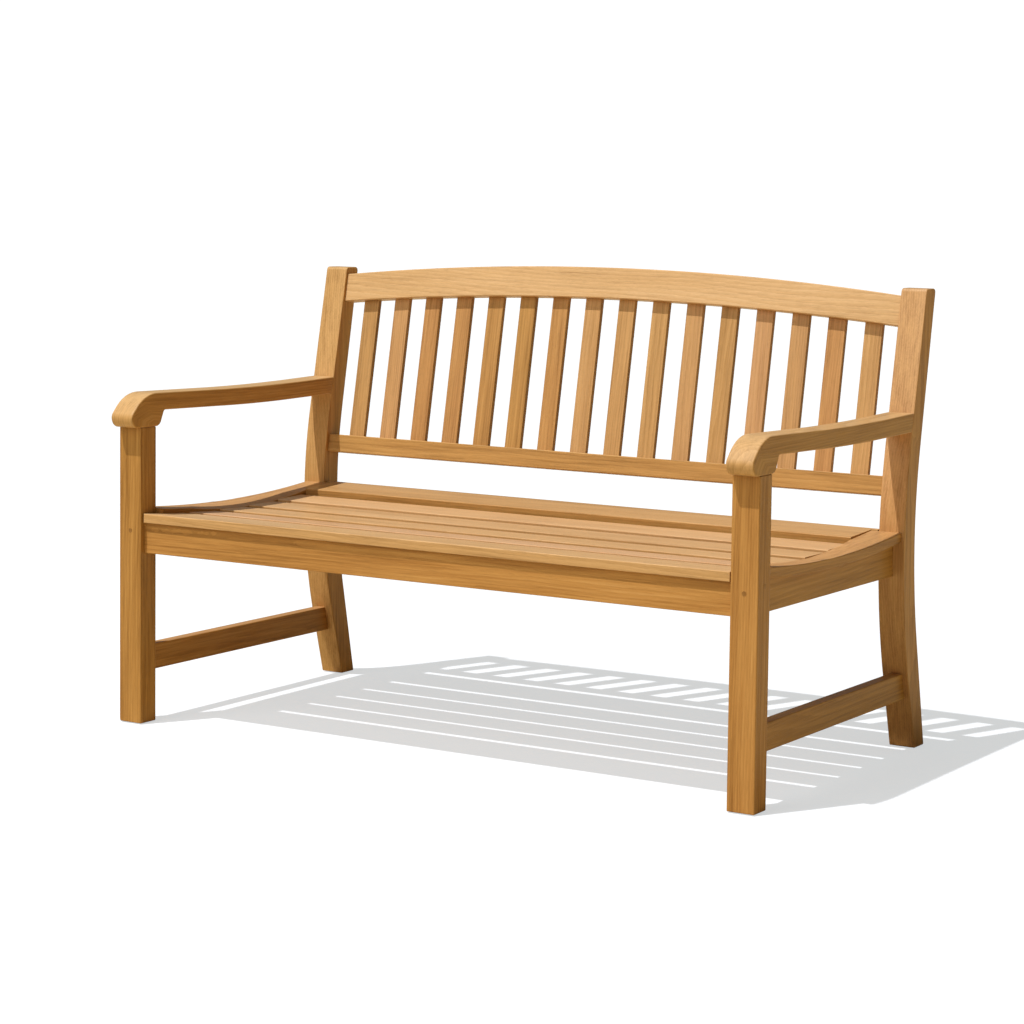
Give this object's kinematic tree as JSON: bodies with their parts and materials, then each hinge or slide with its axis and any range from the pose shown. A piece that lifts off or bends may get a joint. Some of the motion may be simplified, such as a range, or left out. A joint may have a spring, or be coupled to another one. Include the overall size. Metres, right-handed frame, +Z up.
{
  "type": "garden bench",
  "caption": "Slatted hardwood garden bench with raked rear legs, an arched top rail, a dished seat and rounded armrests.",
  "frame": {"origin": "middle of the bench's length and depth, on the floor under the glides", "axes": "+X along the bench to the sitter's left, +Y from the seat's front towards the back, +Z up"},
  "size_m": [1.5008, 0.7834, 0.9594],
  "materials": {
    "wood_frame": "oiled hardwood with fine straight grain, satin, edges slightly eased",
    "wood_slats": "oiled hardwood seat boards, satin, fine grain along the board",
    "wood_hidden": "planed hardwood, unfinished, matt",
    "wood_pegs": "end grain of hardwood dowel, darker than the boards",
    "screw_steel": "stainless steel, satin",
    "glide_nylon": "matt dark nylon"
  },
  "bodies": {
    "root": {"front_leg_left": "wood_frame", "front_leg_right": "wood_frame", "rear_leg_left": "wood_frame", "rear_leg_right": "wood_frame", "armrest_left": "wood_frame", "armrest_right": "wood_frame", "front_seat_rail": "wood_frame", "rear_seat_rail": "wood_frame", "side_seat_rail_left": "wood_frame", "side_seat_rail_right": "wood_frame", "side_stretcher_left": "wood_frame", "side_stretcher_right": "wood_frame", "seat_end_board_left": "wood_slats", "seat_end_board_right": "wood_slats", "seat_slat_1": "wood_slats", "seat_slat_2": "wood_slats", "seat_slat_3": "wood_slats", "seat_slat_4": "wood_slats", "seat_slat_5": "wood_slats", "seat_slat_6": "wood_slats", "slat_bearer_left": "wood_hidden", "slat_bearer_right": "wood_hidden", "back_top_rail": "wood_frame", "back_bottom_rail": "wood_frame", "back_slat_01": "wood_frame", "back_slat_02": "wood_frame", "back_slat_03": "wood_frame", "back_slat_04": "wood_frame", "back_slat_05": "wood_frame", "back_slat_06": "wood_frame", "back_slat_07": "wood_frame", "back_slat_08": "wood_frame", "back_slat_09": "wood_frame", "back_slat_10": "wood_frame", "back_slat_11": "wood_frame", "back_slat_12": "wood_frame", "back_slat_13": "wood_frame", "back_slat_14": "wood_frame", "back_slat_15": "wood_frame", "back_slat_16": "wood_frame", "joint_pegs": "wood_pegs", "end_board_dowels": "wood_pegs", "seat_screws": "screw_steel", "bearer_screws": "screw_steel", "foot_glide_front_left": "glide_nylon", "foot_glide_front_right": "glide_nylon", "foot_glide_rear_left": "glide_nylon", "foot_glide_rear_right": "glide_nylon"}
  },
  "joints": []
}
